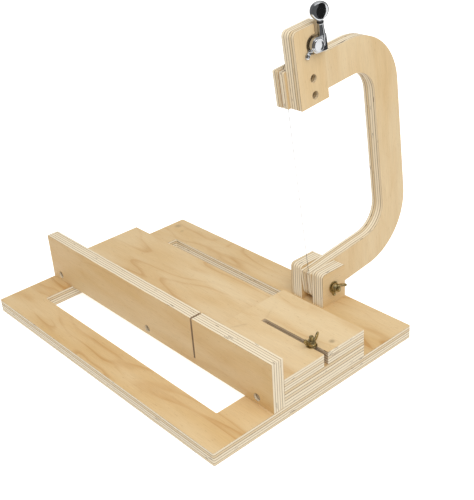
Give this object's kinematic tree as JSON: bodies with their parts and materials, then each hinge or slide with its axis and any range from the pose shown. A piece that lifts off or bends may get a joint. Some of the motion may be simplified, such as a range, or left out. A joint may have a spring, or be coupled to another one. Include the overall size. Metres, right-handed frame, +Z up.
{
  "type": "wire loaf cutter",
  "caption": "Plywood board with a fenced tray, a clamped sliding length stop and a hinged C-shaped bow whose taut wire cuts a loaf or block into even pieces.",
  "frame": {"origin": "middle of the underside of the base board's front rail", "axes": "+X along the tray towards the stop, +Y from the fence to the bow, +Z up from the table"},
  "size_m": [0.4, 0.4119, 0.3646],
  "materials": {
    "base_ply": "clear-sanded birch plywood",
    "tray_ply": "sanded birch plywood",
    "fence_ply": "sanded birch plywood",
    "stop_ply": "sanded birch plywood",
    "cheek_ply": "sanded birch plywood",
    "bow_ply": "sanded birch plywood",
    "plate_ply": "sanded birch plywood",
    "steel_screw": "plain steel wood screw",
    "yellow_zinc": "yellow-passivated zinc plate",
    "chrome_plate": "bright chrome plate",
    "shaft_steel": "turned steel",
    "brass_part": "turned brass",
    "black_collar": "black nylon",
    "wire_steel": "drawn stainless wire"
  },
  "bodies": {
    "base": {"base_board": "base_ply", "tray_board": "tray_ply", "fence_board": "fence_ply", "left_cheek": "cheek_ply", "right_cheek": "cheek_ply", "fence_screw_left": "steel_screw", "fence_screw_middle": "steel_screw", "fence_screw_right": "steel_screw", "tray_screw_front_left": "steel_screw", "tray_screw_front_right": "steel_screw", "tray_screw_back_left": "steel_screw", "tray_screw_back_right": "steel_screw", "cheek_screw_left_front": "steel_screw", "cheek_screw_left_back": "steel_screw", "cheek_screw_right_front": "steel_screw", "cheek_screw_right_back": "steel_screw", "clamp_bolt": "yellow_zinc", "clamp_washer": "yellow_zinc", "pivot_bolt": "yellow_zinc", "pivot_washer_left": "yellow_zinc", "pivot_washer_right": "yellow_zinc"},
    "stop": {"stop_plate": "stop_ply"},
    "clamp_nut": {"clamp_wing_nut": "yellow_zinc"},
    "pivot_nut": {"pivot_wing_nut": "yellow_zinc"},
    "bow": {"bow_frame": "bow_ply", "head_plate": "plate_ply", "head_screw_lower": "steel_screw", "head_screw_upper": "steel_screw", "tuner_housing": "chrome_plate", "tuner_cap": "chrome_plate", "ear_screw": "chrome_plate", "post_bushing": "chrome_plate", "bushing_washer": "chrome_plate", "cutting_wire": "wire_steel", "wire_bead": "brass_part"},
    "post": {"string_post": "chrome_plate", "gear_wheel": "brass_part"},
    "button": {"worm_shaft": "shaft_steel", "tuner_button": "chrome_plate", "button_screw": "chrome_plate", "button_collar": "black_collar"}
  },
  "joints": [
    {"name": "bow_hinge", "type": "hinge", "parent": "base", "child": "bow", "pos_m": [0.0803, 0.24575, 0.0365], "axis": [1, 0, 0], "range_deg": [-11, 83.3]},
    {"name": "stop_slide", "type": "slide", "parent": "base", "child": "stop", "axis": [1, 0, 0], "range_m": [0, 0.067]},
    {"name": "clamp_nut_turn", "type": "hinge", "parent": "base", "child": "clamp_nut", "pos_m": [0.18, 0.13195, 0.05], "axis": [0, 0, 1], "range_deg": [0, 360]},
    {"name": "pivot_nut_turn", "type": "hinge", "parent": "base", "child": "pivot_nut", "pos_m": [0.11, 0.24575, 0.0365], "axis": [1, 0, 0], "range_deg": [0, 360]},
    {"name": "button_turn", "type": "hinge", "parent": "bow", "child": "button", "pos_m": [0.10825, 0.22798, 0.35661], "axis": [0, -0.1167, 0.9932], "continuous": true},
    {"name": "post_turn", "type": "hinge", "parent": "bow", "child": "post", "pos_m": [0.0803, 0.22255, 0.32315], "axis": [1, 0, 0], "continuous": true}
  ],
  "couplings": [
    {"joint": "post_turn", "follows": "button_turn", "ratio": 0.071429}
  ]
}
